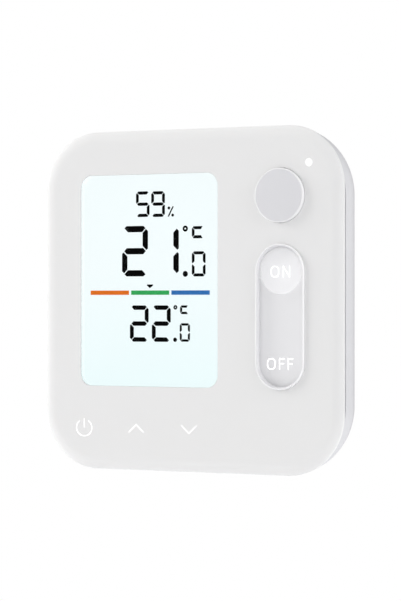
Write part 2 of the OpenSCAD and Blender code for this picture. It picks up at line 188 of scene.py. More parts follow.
floor_mesh = bpy.data.meshes.new("studio_floor")
FLOOR_REACH, FLOOR_Z = 2, -0.35
floor_edge = [(FLOOR_REACH * math.cos(a * math.pi / 48), FLOOR_REACH * math.sin(a * math.pi / 48),
               FLOOR_Z) for a in range(96)]
floor_mesh.from_pydata(floor_edge, [], [list(range(96))])
studio_floor = bpy.data.objects.new("studio_floor", floor_mesh)
scene.collection.objects.link(studio_floor)
# painted studio floor: matt, faintly uneven emulsion
floor_paint, floor_shader = plastic("matt_floor_paint", "#F3F3F4", "#EFEFF1", 0.8, 4.0, 0.1)
lit(floor_shader, "#FFFFFF", 0.2)
floor_mesh.materials.append(floor_paint)
studio_floor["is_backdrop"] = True

camera = bpy.data.cameras.new("camera")
camera.sensor_width = 36.0
camera.lens = 152.57
camera.clip_start = 0.05
camera_object = bpy.data.objects.new("camera", camera)
scene.collection.objects.link(camera_object)
camera_object.location = (0.33628, -0.60126, 0.0)
camera_object.rotation_euler = (math.radians(90), 0, math.radians(30))
scene.camera = camera_object

# ---- Wall plate ----
# The part that is screwed to the wall box: a moulded ABS plate with slots for two screws,
# a window for the cables and two hooks at the top. Steel discs for the catch magnets sit in it.
TO_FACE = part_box("front_cover")[0].y


def deep(t):
    """The y of a depth t (mm) behind the flat of the face."""
    return TO_FACE + t * MM


def dress(name, material, edge=0.0, turn=30):
    """Gives a carried-over node its finish and, if edge (mm) is given, edges rounded that much."""
    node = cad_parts[name]
    for holder in node.material_slots:
        holder.material = material
    if edge:
        for face in node.data.polygons:
            face.use_smooth = True
        node.modifiers.new("join", "WELD").merge_threshold = 0.001 * MM
        flat = node.modifiers.new("flats", "DECIMATE")
        flat.decimate_type = "DISSOLVE"
        flat.angle_limit = math.radians(1)
        soft = node.modifiers.new("edges", "BEVEL")
        soft.width = edge * MM
        soft.segments = 2
        soft.limit_method = "ANGLE"
        soft.angle_limit = math.radians(turn)
        soft.use_clamp_overlap = False
        node.modifiers.new("even", "WEIGHTED_NORMAL").keep_sharp = False
    return node


# white ABS, moulded with a fine matt texture: soft highlights, slightly cool
plate_plastic, _ = plastic("white_abs_matt_moulded", "#DEDEE1", "#DADADE", 0.5, 0.35, 0.01)
dress("wall_plate", plate_plastic)


def metal(name, tone, tone_low, rough, grain=0.08, stretch=(1, 1, 1), relief=0.001):
    """A bare or plated metal: fine tooling lines grain (mm) wide, drawn out along the small
    axis of stretch, and slightly duller patches."""
    material, tree, shader = fresh(name)
    place = spot(tree)
    drawn = add(tree, "ShaderNodeMapping", {"Vector": place, "Scale": stretch})
    patch = noise(tree, place, 3, 3.0)
    bump = add(tree, "ShaderNodeBump", {"Height": noise(tree, drawn.outputs[0], grain, 2.0),
               "Strength": 0.6, "Distance": relief * MM})
    feed(shader, {"Base Color": blend(tree, patch, tone_low, tone), "Metallic": 1.0,
                  "Roughness": ramp(tree, patch, 0.3, 0.7, rough - 0.05, rough + 0.08),
                  "Normal": bump.outputs[0]})
    return material


# bright zinc on pressed steel: pale, slightly blue, faint rolling lines
zinc_steel = metal("zinc_plated_steel", "#C9CCD0", "#AEB2B8", 0.3, 0.1, (1, 1, 0.15))
dress("keeper_discs", zinc_steel, 0.15)

# ---- Wire terminals ----
# A six-pole block on the plate below the cable window: a grey polyamide body with rising
# cage clamps, slotted screws and the tinned bars that the head's springs press on.

# glass-filled polyamide: mid grey, dull, with a visible flow grain
polyamide, _ = plastic("grey_polyamide", "#5E6266", "#54585C", 0.55, 0.25, 0.012)
dress("terminal_block", polyamide)
# cage clamps: nickel-plated brass with a satin tumbled surface
nickel_brass = metal("nickel_plated_brass", "#CFC9B8", "#B9B3A2", 0.35, 0.1)
dress("terminal_clamps", nickel_brass, 0.1)
# screws: the same bright zinc as the keeper discs
dress("terminal_screws", zinc_steel)
# contact bars: tinned copper, soft white metal with a slight bloom
tinned_copper = metal("tinned_copper", "#D6D3CC", "#BFBBB2", 0.32, 0.12)
dress("contact_bars", tinned_copper)

# ---- Rear housing ----
# The bowl behind the face: white ABS whose sides run straight for a few millimetres and then
# taper to the wall. It clips over the tongue of the front cover. Air slots in the top and
# bottom let warm air pass the sensor; its floor carries the rod lugs and the catch magnets.


def rounded(hw, hh, r, t, n=24, x=0.0, z=0.0, runs=1):
    """A loop of points round a rounded rectangle, in mm, at depth t, each side cut in runs."""
    corners = []
    for k, (sx, sz) in enumerate(((1, 1), (-1, 1), (-1, -1), (1, -1))):
        turns = [math.radians(90 * k + 90 * i / n) for i in range(n + 1)]
        corners.append([(x + sx * (hw - r) + r * math.cos(a), z + sz * (hh - r) + r * math.sin(a))
                        for a in turns])
    loop = []
    for corner, after in zip(corners, corners[1:] + corners[:1]):
        (ax, az), (bx, bz) = corner[-1], after[0]
        loop += corner + [(ax + (bx - ax) * i / runs, az + (bz - az) * i / runs)
                          for i in range(1, runs)]
    return [(px * MM, deep(t), pz * MM) for px, pz in loop]


def oval(r, run, t, n=32, x=0.0, z=0.0):
    """A loop round a stadium of radius r whose end centres stand run (mm) above and below."""
    loop = []
    for side in (1, -1):
        for i in range(n + 1 if run else n):
            a = math.radians(180 * i / n)
            loop.append(((x + side * r * math.cos(a)) * MM, deep(t),
                         (z + side * (run + r * math.sin(a))) * MM))
    return loop


def piece(name, fill, material, body, stands_for=(), sharp=38, even=True):
    """Makes a piece from a bmesh: one finish, smooth where it turns gently, riding on its body."""
    bmesh.ops.remove_doubles(fill, verts=fill.verts, dist=0.0002 * MM)
    bmesh.ops.recalc_face_normals(fill, faces=fill.faces)
    mesh = bpy.data.meshes.new(name)
    fill.to_mesh(mesh)
    fill.free()
    mesh.materials.append(material)
    mesh.shade_smooth()
    mesh.set_sharp_from_angle(angle=math.radians(sharp))
    made = bpy.data.objects.new(name, mesh)
    scene.collection.objects.link(made)
    if even:
        shading = made.modifiers.new("even", "WEIGHTED_NORMAL")
        shading.keep_sharp = True
    if body:
        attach(made, body)
        if stands_for:
            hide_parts(*stands_for)
    return made


def solid(chains):
    """Closed walls in a new bmesh. Each chain is (start, loops, end): its loops are joined in
    order, and its ends lie on the flats of that name, or are shut with one face."""
    fill = bmesh.new()
    flats = {}
    for start, loops, end in chains:
        rows = [[fill.verts.new(p) for p in loop] for loop in loops]
        count = len(rows[0])
        for a, b in zip(rows, rows[1:]):
            for i in range(count):
                j = (i + 1) % count
                fill.faces.new((a[i], a[j], b[j], b[i]))
        for flat, row in ((start, rows[0]), (end, rows[-1])):
            if flat == "shut":
                fill.faces.new(row)
            elif flat:
                edges = [fill.edges.get((row[i], row[(i + 1) % count])) for i in range(count)]
                flats.setdefault(flat, []).extend(edges)
    for edges in flats.values():
        bmesh.ops.triangle_fill(fill, edges=edges, use_beauty=True)
    return fill


def roll(x, t, r, a0, a1, n=6):
    """Section points (distance, depth) on an arc about (x, t), from angle a0 to a1 in degrees."""
    turns = (math.radians(a0 + (a1 - a0) * i / n) for i in range(n + 1))
    return [(x + r * math.cos(a), t + r * math.sin(a)) for a in turns]


HALF = 45.0
SHELL_R = 18.0
SHELL_WALL = 2.0
TAPER = 27.5
SHELL_FRONT, SHELL_BACK = 2.2, 23.4
SHELL_FILLET = 0.12
FLOOR_FRONT, FLOOR_BACK = 17.2, 18.7
lean = math.tan(math.radians(TAPER))


def wall_line(inset, t0, t1, n):
    """(inset, depth) points down one side of the bowl's wall, straight, bent, then tapered."""
    arc = roll(10, 4.64, 10 - inset, 180, 180 - TAPER, n)
    end_x, end_t = arc[-1]
    points = [(x, t) for x, t in [(inset, t0)] + arc if t <= t1 and t >= t0 - 1e-9]
    return points + [(end_x + (t1 - end_t) * lean, t1)]


outer = wall_line(0.0, SHELL_FRONT + SHELL_FILLET, SHELL_BACK - 0.3, 14)
inner = wall_line(SHELL_WALL, SHELL_FRONT + 0.2, FLOOR_FRONT, 14)
skirt = wall_line(SHELL_WALL, SHELL_FRONT, SHELL_BACK - 0.3, 14)[-1]
side_floor = wall_line(SHELL_WALL, SHELL_FRONT, FLOOR_BACK, 14)[-1]
section = (inner[::-1] + [(SHELL_WALL - 0.2, SHELL_FRONT)]
           + roll(SHELL_FILLET, SHELL_FRONT + SHELL_FILLET, SHELL_FILLET, 270, 180, 4)
           + outer[1:] + [(outer[-1][0] + 0.35, SHELL_BACK), (skirt[0] - 0.15, SHELL_BACK), skirt,
                          side_floor])
bowl = [rounded(HALF - x, HALF - x, SHELL_R - x, t, runs=22) for x, t in section]
chains = [("floor", bowl, "under")]
# openings in the floor: one between each pair of lugs, and a large one over the terminals
for hw, hh, r, x, z in ((3.6, 3.7, 0.5, -18, 32), (3.6, 3.7, 0.5, 18, 32),
                        (22.3, 8.2, 0.6, 0, -18)):
    chains.append(("floor", [rounded(hw, hh, r, t, 4, x, z) for t in (FLOOR_FRONT, FLOOR_BACK)],
                   "under"))
# bosses for the catch magnets
for x in (-26.5, 26.5):
    steps = ((4.2, FLOOR_BACK), (4.2, 21.8), (4.0, 22), (3.15, 22), (3.05, 21.9), (3.05, 20.35))
    chains.append(("under", [oval(r, 0, t, 24, x, -29) for r, t in steps], "shut"))
bowl_mesh = solid(chains)
ROD_AT, EYE_R, BORE_R = (33, 21), 2.2, 1.22
LUG_HALF = 1.5


def round_rod(r, turns):
    """Points (height, depth) at distance r from the rod's axis, at angles in degrees."""
    return [(ROD_AT[0] - r * math.cos(math.radians(a)), ROD_AT[1] + r * math.sin(math.radians(a)))
            for a in turns]


for x in (-25, -11, 11, 25):
    # a lug: a round eye for the rod on a foot that stands on the floor
    eye = [(31.0, FLOOR_BACK - 0.4), (31.0, 21.0)] + round_rod(EYE_R, range(12, 180, 12))
    eye += [(35.0, 21.0), (35.0, FLOOR_BACK - 0.4)]
    bore = round_rod(BORE_R, range(0, 360, 15))
    ends = []
    for sx in (x - LUG_HALF, x + LUG_HALF):
        ring = [bowl_mesh.verts.new((sx * MM, deep(t), z * MM)) for z, t in eye]
        hole = [bowl_mesh.verts.new((sx * MM, deep(t), z * MM)) for z, t in bore]
        ends.append((ring, hole))
    for a, b in zip(*ends):
        for i in range(len(a)):
            j = (i + 1) % len(a)
            bowl_mesh.faces.new((a[i], a[j], b[j], b[i]))
    for ring, hole in ends:
        edges = [bowl_mesh.edges.get((row[i], row[(i + 1) % len(row)])) for row in (ring, hole)
                 for i in range(len(row))]
        bmesh.ops.triangle_fill(bowl_mesh, edges=edges, use_beauty=True)

# matt white ABS, a shade greyer than the cover: painted shade, standing in for the shade that falls
# on the housing's sides
shell_plastic, _ = plastic("white_abs_textured_shell", "#DFDFE1", "#DBDBDE", 0.45, 0.4, 0.008)


def grow_tree(name, inputs):
    """A node tree for repeated shapes, with named inputs. Returns it and its input node."""
    tree = bpy.data.node_groups.new(name, "GeometryNodeTree")
    for label, kind in inputs.items():
        tree.interface.new_socket(label, in_out="INPUT", socket_type="NodeSocket" + kind)
    tree.interface.new_socket("Geometry", in_out="OUTPUT", socket_type="NodeSocketGeometry")
    return tree, tree.nodes.new("NodeGroupInput")


def grow(made, tree, values):
    """Runs a tree on an object with those inputs and keeps the result as a plain mesh."""
    run = made.modifiers.new("grow", "NODES")
    run.node_group = tree
    for item in tree.interface.items_tree:
        if item.in_out == "INPUT" and item.name in values:
            run[item.identifier] = values[item.name]
    bpy.context.view_layer.update()
    depsgraph = bpy.context.evaluated_depsgraph_get()
    plain = bpy.data.meshes.new_from_object(made.evaluated_get(depsgraph))
    made.modifiers.remove(run)
    made.data = plain
    return made


# the air slots: a row of rounded bars is taken out of the top wall and of the bottom wall
slots, given = grow_tree("air_slots", {"Geometry": "Geometry", "Count": "Int", "Pitch": "Float",
                         "Width": "Float", "Length": "Float", "Corner": "Float", "Reach": "Float",
                         "Depth": "Float", "Plastic": "Material"})
bar_path = add(slots, "GeometryNodeCurvePrimitiveLine",
               {"Start": (0, 0, -4.5 * MM), "End": (0, 0, 4.5 * MM)})
bar_outline = add(slots, "GeometryNodeCurvePrimitiveQuadrilateral",
                  {"Width": given.outputs["Width"], "Height": given.outputs["Length"]})
bar_round = add(slots, "GeometryNodeFilletCurve", {"Curve": bar_outline.outputs[0], "Count": 5,
                "Radius": given.outputs["Corner"]}, mode="POLY")
bar = add(slots, "GeometryNodeCurveToMesh", {"Curve": bar_path.outputs[0],
          "Profile Curve": bar_round.outputs[0], "Fill Caps": True})
spare = calc(slots, "SUBTRACT", given.outputs["Count"], 1.0)
left_end = calc(slots, "MULTIPLY", calc(slots, "MULTIPLY", spare, given.outputs["Pitch"]), -0.5)
step = add(slots, "ShaderNodeCombineXYZ", {"X": given.outputs["Pitch"]})
below = calc(slots, "MULTIPLY", given.outputs["Reach"], -1.0)
rows = add(slots, "GeometryNodeJoinGeometry")
for height in (given.outputs["Reach"], below):
    start = add(slots, "ShaderNodeCombineXYZ",
                {"X": left_end, "Y": given.outputs["Depth"], "Z": height})
    row = add(slots, "GeometryNodeMeshLine", {"Count": given.outputs["Count"],
              "Start Location": start.outputs[0], "Offset": step.outputs[0]})
    slots.links.new(row.outputs[0], rows.inputs[0])
bars = add(slots, "GeometryNodeInstanceOnPoints",
           {"Points": rows.outputs[0], "Instance": bar.outputs[0]})
real = add(slots, "GeometryNodeRealizeInstances", {"Geometry": bars.outputs[0]})
cut = add(slots, "GeometryNodeMeshBoolean", {"Mesh 1": given.outputs["Geometry"],
          "Mesh 2": real.outputs[0]}, operation="DIFFERENCE")
coat = add(slots, "GeometryNodeSetMaterial",
           {"Geometry": cut.outputs[0], "Material": given.outputs["Plastic"]})
add(slots, "NodeGroupOutput", {"Geometry": coat.outputs[0]})

housing = piece("housing_shell", bowl_mesh, shell_plastic, None, even=False)
grow(housing, slots, {"Count": 7, "Pitch": 5 * MM, "Width": 1.6 * MM, "Length": 4 * MM,
     "Corner": 0.5 * MM, "Reach": HALF * MM, "Depth": deep(7.8), "Plastic": shell_plastic})
housing.data.set_sharp_from_angle(angle=math.radians(38))
housing.modifiers.new("even", "WEIGHTED_NORMAL").keep_sharp = True
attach(housing, "head")
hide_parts("rear_housing")

# ---- Hinge rod and catch magnets ----
# A drawn steel rod lies in the lugs and drops into the plate's hooks; two ferrite discs
# pressed into the bosses at the bottom hold the head against the plate.

# drawn stainless rod: bright, with fine lines along its length
drawn_steel = metal("drawn_stainless_steel", "#C8C9CB", "#B2B4B7", 0.25, 0.06, (0.05, 1, 1))
dress("hinge_rod", drawn_steel, 0.15)
# sintered ferrite: dark grey, matt and slightly porous
ferrite, _ = plastic("sintered_ferrite", "#3A3A3D", "#2C2C2F", 0.62, 0.18, 0.02)
dress("catch_magnets", ferrite, 0.15)

# ---- Circuit board ----
# A glass-fibre board under a green mask, held on four bosses of the front cover by
# cross-recess screws. Its back carries the mains side, its front the display and keys.
board, tree, shader = fresh("green_masked_glass_fibre_board")
place = spot(tree)
flat_place = add(tree, "ShaderNodeMapping", {"Vector": place, "Rotation": (math.radians(90), 0, 0)})
tracks = add(tree, "ShaderNodeTexBrick", {"Vector": flat_place.outputs[0], "Scale": 1 / (5 * MM),
             "Mortar Size": 0.06, "Mortar Smooth": 0.1, "Brick Width": 1.7, "Row Height": 0.34,
             "Color1": srgb("#1F6B43"), "Color2": srgb("#226F47"), "Mortar": srgb("#17522F")},
             offset=0.37, squash=1.6)
weave = add(tree, "ShaderNodeTexWave",
            {"Vector": place, "Scale": 1 / (0.9 * MM), "Distortion": 0.4})
relief = add(tree, "ShaderNodeMix", {0: 0.3, 2: tracks.outputs["Fac"], 3: weave.outputs["Fac"]})
dent = add(tree, "ShaderNodeBump",
           {"Height": relief.outputs[0], "Strength": 0.6, "Distance": 0.02 * MM})
feed(shader, {"Base Color": tracks.outputs["Color"], "Normal": dent.outputs[0], "Roughness": 0.32,
              "Coat Weight": 0.4})
dress("main_board", board)
dress("board_screws", zinc_steel)

# ---- Front cover ----
# The square face and its soft rolled edge: one moulding of gloss-finished white
# polycarbonate, with a tongue that clips into the housing. It has openings for the window,
# dial, slide switch and lamp, and four bosses behind that hold the board.
COVER_R = 16.0
LIP = 1.6
PLATE = 2.0
TONGUE, TONGUE_R = 42.7, 15.7
ROLL_W, ROLL_DROP = 3.4, 1.0
roll_r = (ROLL_W ** 2 + ROLL_DROP ** 2) / (2 * ROLL_DROP)
roll_a = math.degrees(math.asin(ROLL_W / roll_r))
edge_line = roll(ROLL_W, roll_r, roll_r, 270, 270 - roll_a * 0.955, 22)
edge_line += [(0.04, ROLL_DROP - 0.02), (0.0, ROLL_DROP + 0.08), (0.0, LIP - 0.08), (0.08, LIP)]
skin = [rounded(HALF - x, HALF - x, COVER_R - x, t) for x, t in edge_line]
skin += [rounded(TONGUE - d, TONGUE - d, TONGUE_R - d, t)
         for d, t in ((0, LIP), (0, 4.7), (0.3, 5.0), (1.4, 5.0), (1.4, PLATE))]
cover_chains = [("face", skin, "back")]

WINDOW = (42.2, 56.2)
WINDOW_R = 3.3
WINDOW_AT = (-12.4, 5.3)


def mouth(f, n=4):
    """(widening, depth) points of an opening's rounded edge of radius f, from the face inwards."""
    turns = [math.radians(90 * i / n) for i in range(n + 1)]
    return [(f - f * math.sin(a), f - f * math.cos(a)) for a in turns]


frame_line = mouth(0.06) + [(0, 1.2), (1.5, 1.2), (1.5, PLATE)]
cover_chains.append(("face", [rounded(WINDOW[0] / 2 + g, WINDOW[1] / 2 + g, WINDOW_R + g, t, 12,
                                      *WINDOW_AT) for g, t in frame_line], "back"))
DIAL_AT = (27.2, 27.0)
cover_chains.append(("face", [oval(7.14 + g, 0, t, 40, *DIAL_AT)
                              for g, t in mouth(0.04) + [(0, PLATE)]], "back"))
SWITCH_AT = (27.2, -4.2)
RUN, LOW_RUN = 11.8, 13.8
channel = [(7.1 + g, RUN, t) for g, t in mouth(0.04)]
channel += [(7.1, RUN, 0.6), (7.85, LOW_RUN, 0.6), (7.85, LOW_RUN, PLATE)]
cover_chains.append(("face", [oval(r, run, t, 32, *SWITCH_AT) for r, run, t in channel], "back"))
LAMP_AT = (35.4, 35.3)
cover_chains.append(("face", [oval(1.08 + g, 0, t, 24, *LAMP_AT)
                              for g, t in mouth(0.04) + [(0, PLATE)]], "back"))
for x, z in ((16.8, 36.5), (37.4, 22.0), (-24.4, -34.0), (16.8, -33.0)):
    post = ((2.4, PLATE), (2.4, 6.7), (2.2, 6.9), (1.1, 6.9), (0.9, 6.7), (0.9, 3.2))
    cover_chains.append(("back", [oval(r, 0, t, 24, x, z) for r, t in post], "shut"))
# glossy white polycarbonate: clean, with a trace of light inside it at the edges
cover_plastic, _ = plastic("white_polycarbonate_gloss_cover", "#F2F2F2", "#F2F2F1", 0.3, 0.5,
                           0.0005, 0.1)
piece("cover_shell", solid(cover_chains), cover_plastic, "head", ["front_cover"],
      sharp=30)

# ---- Display ----
# A liquid crystal cell in a white frame behind a clear acrylic window that drops into the
# cover from behind. A light guide with three side lamps makes it glow a cool white; rubber
# strips of black and clear layers carry the current from the board to the glass.
pane_edge = [(-0.17, 0.03), (-0.09, 0.05), (-0.05, 0.11), (-0.05, 1.23), (1.36, 1.23), (1.4, 1.27),
             (1.4, 1.94), (1.34, 2.0)]
pane = solid([("shut", [rounded(WINDOW[0] / 2 + g, WINDOW[1] / 2 + g, WINDOW_R + g, t, 12,
                                *WINDOW_AT) for g, t in pane_edge], "shut")])
# cast acrylic with a hard coat: water clear, almost no surface texture
acrylic, tree, shader = fresh("clear_hard_coated_acrylic")
haze = noise(tree, spot(tree), 5, 2.0)
feed(shader, {"Base Color": srgb("#FFFFFF"), "Transmission Weight": 1.0, "IOR": 1.49,
              "Roughness": ramp(tree, haze, 0.0, 1.0, 0.0, 0.03)})
piece("display_pane", pane, acrylic, "head", ["display_window"], sharp=30)

# lit cell: a cool white glow, a touch bluer at the bottom where the light guide ends
glow, tree, shader = fresh("backlit_liquid_crystal_glass")
place = spot(tree)
axes = add(tree, "ShaderNodeSeparateXYZ", {"Vector": place})
height = ramp(tree, axes.outputs["Z"], -22 * MM, 8 * MM)
feed(shader, {"Roughness": 0.2, "Base Color": srgb("#1A1C1C"),
              "Emission Color": blend(tree, height, "#EEFDFE", "#F5FEFF"),
              "Emission Strength": ramp(tree, noise(tree, place, 12, 1.0), 0.0, 1.0, 1.06, 1.08)})
dress("lcd_cell", glow)
# white reflector frame: dull, very white polycarbonate
frame_plastic, _ = plastic("white_reflector_polycarbonate", "#F4F4F2", "#EDEDEA", 0.6, 0.3, 0.006)
dress("lcd_frame", frame_plastic, 0.12)


def seven(lit, x, z, w, h, s):
    """Outlines of the lit bars of a seven-segment figure centred at (x, z), s thick, in mm."""
    left, low, mid = x - w / 2, z - h / 2, h / 2
    top = [(0.85 * s, h), (w - 0.85 * s, h), (w - 0.45 * s, h - 0.35 * s), (w - 1.1 * s, h - s),
           (1.1 * s, h - s), (0.45 * s, h - 0.35 * s)]
    side = [(w, h - 0.85 * s), (w - 0.38 * s, h - 0.5 * s), (w - s, h - 1.12 * s),
            (w - s, mid + 0.85 * s), (w - 0.3 * s, mid + 0.18 * s), (w, mid + 0.4 * s)]
    bar = [(0.4 * s, mid), (0.9 * s, mid + 0.5 * s), (w - 0.9 * s, mid + 0.5 * s),
           (w - 0.4 * s, mid), (w - 0.9 * s, mid - 0.5 * s), (0.9 * s, mid - 0.5 * s)]
    over, across = (lambda p: (p[0], h - p[1])), (lambda p: (w - p[0], p[1]))
    both = lambda p: over(across(p))
    shapes = {"a": top, "b": side, "c": [over(p) for p in side], "d": [over(p) for p in top],
              "e": [both(p) for p in side], "f": [across(p) for p in side], "g": bar}
    return [[(left + px, low + pz) for px, pz in shapes[k]] for k in lit]


def disc(x, z, r, n=24):
    """Outline of a dot, in mm."""
    turns = [2 * math.pi * i / n for i in range(n)]
    return [(x + r * math.cos(a), z + r * math.sin(a)) for a in turns]


def film(outlines, t0, t1, ink=None):
    """Thin flat shapes between two depths, in a new bmesh or added to ink."""
    ink = ink or bmesh.new()
    for outline in outlines:
        front, rear = ([ink.verts.new((x * MM, deep(t), z * MM)) for x, z in outline]
                       for t in (t0, t1))
        ink.faces.new(front)
        ink.faces.new(rear)
        for i in range(len(front)):
            j = (i + 1) % len(front)
            ink.faces.new((front[i], front[j], rear[j], rear[i]))
    return ink


INK = (2.05, 2.085)
figures = []
for bars_lit, x, z, w, h, s in (
        ("afgcd", -14.86, 25.55, 4.2, 6.8, 0.86), ("abfgcd", -10.14, 25.5, 4.2, 6.8, 0.86),
        ("abged", -17.28, 13.1, 8.05, 13.4, 1.66), ("bc", -7.8, 13.05, 8.05, 13.4, 1.66),
        ("abcdef", 2.27, 9.6, 4.15, 6.6, 0.82), ("abged", -15.95, -6.12, 5.8, 9.65, 1.2),
        ("abged", -9.15, -6.1, 5.8, 9.65, 1.2), ("abcdef", -1.93, -8.4, 3.1, 4.86, 0.64)):
    figures += seven(bars_lit, x, z, w, h, s)
for x, z, w, h, s in ((1.82, 17.9, 3.25, 3.2, 0.82), (-2.21, -2.43, 2.35, 2.32, 0.64)):
    # a small letter C of three bars
    left, right, low, high = x - w / 2, x + w / 2, z - h / 2, z + h / 2
    for k in (1, -1):
        figures.append([(left + 0.6 * s, z + k * h / 2), (right, z + k * h / 2),
                        (right - 0.3 * s, z + k * (h / 2 - 0.5 * s)),
                        (right - 0.6 * s, z + k * (h / 2 - s)), (left + s, z + k * (h / 2 - s)),
                        (left + 0.35 * s, z + k * (h / 2 - 0.4 * s))])
    figures.append([(left, high - 0.8 * s), (left + 0.3 * s, high - 0.55 * s),
                    (left + s, high - 1.2 * s), (left + s, low + 1.2 * s),
                    (left + 0.3 * s, low + 0.55 * s), (left, low + 0.8 * s)])
# the decimal points, the percent sign and the marker over the bars
for dot in ((-1.8, 7.0, 0.78), (-4.91, -10.33, 0.58), (-6.8, 24.4, 0.4), (-5.65, 22.5, 0.4)):
    figures.append(disc(*dot))
figures.append([(-7.2, 22.15), (-6.8, 22.1), (-5.3, 24.8), (-5.7, 24.85)])
figures.append([(-13.6, 4.25), (-13.55, 3.95), (-12.65, 3.25), (-11.7, 3.95), (-11.65, 4.25)])
dark = film(figures, *INK)
for x, z, r, s in ((-1.8, 18.9, 0.8, 0.56), (-4.82, -1.8, 0.6, 0.44)):
    # degree rings
    outside, inside = disc(x, z, r), disc(x, z, r - s)
    for i in range(len(outside)):
        j = (i + 1) % len(outside)
        film([[outside[i], outside[j], inside[j], inside[i]]], *INK, ink=dark)
# polarised liquid crystal: almost black, with a faint blue cast and no shine
ink_black, ink_shader = plastic("dark_liquid_crystal", "#020203", "#010102", 0.6, 0.4, 0.0)
feed(ink_shader, {"Specular IOR Level": 0.0})
piece("display_figures", dark, ink_black, "head", sharp=20, even=False)

for name, x0, x1, code, low in (("level_bar_warm", -31.22, -19.15, "#DB6E24", "#D96C21"),
                                ("level_bar_mid", -18.47, -6.71, "#38A359", "#35A056"),
                                ("level_bar_cool", -6.04, 5.6, "#356DAE", "#336BAC")):
    # translucent printed ink over the lit cell, so the colour glows a little
    tint, tint_shader = plastic("printed_ink_" + name[10:], code, low, 0.5, 0.4, 0.0)
    feed(tint_shader, {"Specular IOR Level": 0.0})
    lit(tint_shader, code, 0.73)
    piece(name, film([[(x0, 1.5), (x1, 1.5), (x1, 2.66), (x0, 2.66)]], *INK), tint, "head",
          sharp=20, even=False)

# moulded acrylic light guide: clear, with a slight milkiness
guide_plastic, guide_shader = plastic("light_guide_acrylic", "#F2F7F7", "#E9F2F3", 0.25, 0.8, 0.02)
feed(guide_shader, {"Transmission Weight": 0.35})
dress("light_guide", guide_plastic)
# lamp packages: white filled epoxy with a yellow cast from the phosphor
package, _ = plastic("lamp_package_epoxy", "#F3EFD8", "#EBE3BD", 0.35, 0.3, 0.004)
dress("backlight_leds", package)
dress("status_led", package)


def banded(name, tone_a, tone_b, width, rough, axis="X"):
    """Two tones in turn, each pair width (mm) thick along an axis."""
    material, shader = plastic(name, tone_a, tone_a, rough, 0.3, 0.004)
    tree = material.node_tree
    wave = add(tree, "ShaderNodeTexWave", {"Vector": spot(tree), "Scale": 0.314 / (width * MM)},
               bands_direction=axis)
    feed(shader, {"Base Color": blend(tree, wave.outputs["Fac"], tone_a, tone_b)})
    return material


# layered silicone rubber, black where it conducts and pale between
dress("zebra_strips", banded("layered_silicone_rubber", "#2A2B2D", "#B9BBBD", 0.5, 0.6))

# ---- Touch keys and lamp ----
# Three soft conductive posts press on the back of the cover and feel a finger through it.
# Lit legends show in the face over them, and a frosted light pipe ends at the top corner.
carbon_rubber, _ = plastic("carbon_filled_silicone", "#2B2B2C", "#222223", 0.7, 0.3, 0.02)
dress("touch_posts", carbon_rubber)

pipe = solid([("shut", [oval(r, 0, t, 32, *LAMP_AT) for r, t in (
    (0.3, -0.02), (0.65, 0.0), (0.88, 0.04), (1.0, 0.09), (1.05, 0.17), (1.05, 2.04), (2.0, 2.04),
    (2.1, 2.14), (2.1, 2.7), (2.0, 2.8), (1.05, 2.8), (1.05, 5.7), (0.95, 5.8))], "shut")])
# frosted polycarbonate light pipe, lit white from behind
frosted, frosted_shader = plastic("frosted_light_pipe", "#FFFFFF", "#FAFAFA", 0.4, 0.3, 0.004)
lit(frosted_shader, "#FFFFFF", 0.25)
piece("lamp_pipe", pipe, frosted, "head", ["lamp_lens"], sharp=35)


def stroke(ink, line, width, t0, t1, caps=(True, True), closed=False):
    """Lays one line of lettering, width mm wide with round ends, between two depths."""
    r = width / 2
    points = [(x, z, r) for x, z in line]
    if not closed:
        def ending(end, near):
            dx, dz = end[0] - near[0], end[1] - near[1]
            size = math.hypot(dx, dz)
            turns = [math.radians(a) for a in (15, 35, 60, 85)]
            return [(end[0] + dx / size * r * math.sin(a), end[1] + dz / size * r * math.sin(a),
                     r * math.cos(a)) for a in turns]
        head = ending(line[0], line[1])[::-1] if caps[0] else []
        tail = ending(line[-1], line[-2]) if caps[1] else []
        points = head + points + tail
    count = len(points)
    sides = []
    for i, (x, z, half) in enumerate(points):
        before = points[i - 1] if i or closed else points[i]
        after = points[(i + 1) % count] if i < count - 1 or closed else points[i]
        ax, az = x - before[0], z - before[1]
        bx, bz = after[0] - x, after[1] - z
        la, lb = math.hypot(ax, az) or 1, math.hypot(bx, bz) or 1
        nx, nz = -(az / la + bz / lb), ax / la + bx / lb
        size = math.hypot(nx, nz)
        if (la == 1 and ax == az == 0) or (lb == 1 and bx == bz == 0):
            reach = half
        else:
            reach = half / max(0.35, size / 2)
        nx, nz = nx / size, nz / size
        sides.append([ink.verts.new(((x + k * nx * reach) * MM, deep(t), (z + k * nz * reach) * MM))
                      for k, t in ((1, t0), (-1, t0), (-1, t1), (1, t1))])
    pairs = list(zip(sides, sides[1:])) + ([(sides[-1], sides[0])] if closed else [])
    for a, b in pairs:
        for i in range(4):
            j = (i + 1) % 4
            ink.faces.new((a[i], a[j], b[j], b[i]))
    if not closed:
        ink.faces.new(sides[0])
        ink.faces.new(sides[-1])


STROKE = 0.19
LEGEND_T = (-0.02, 0.02)
legend = bmesh.new()
power = (-32.45, -34.1)
ring = [(power[0] + 2.45 * math.sin(math.radians(a)), power[1] + 2.2 * math.cos(math.radians(a)))
        for a in range(34, 327, 9)]
stroke(legend, ring, STROKE, *LEGEND_T)
stroke(legend, [(power[0], power[1] + 2.35), (power[0], power[1] + 0.1)], STROKE, *LEGEND_T)
for x, z, k in ((-16.1, -33.9, 1), (0.05, -33.85, -1)):
    arrow = [(x - 2.25, z - k * 1.02), (x, z + k * 0.98), (x + 2.25, z - k * 1.02)]
    stroke(legend, arrow, STROKE, *LEGEND_T)
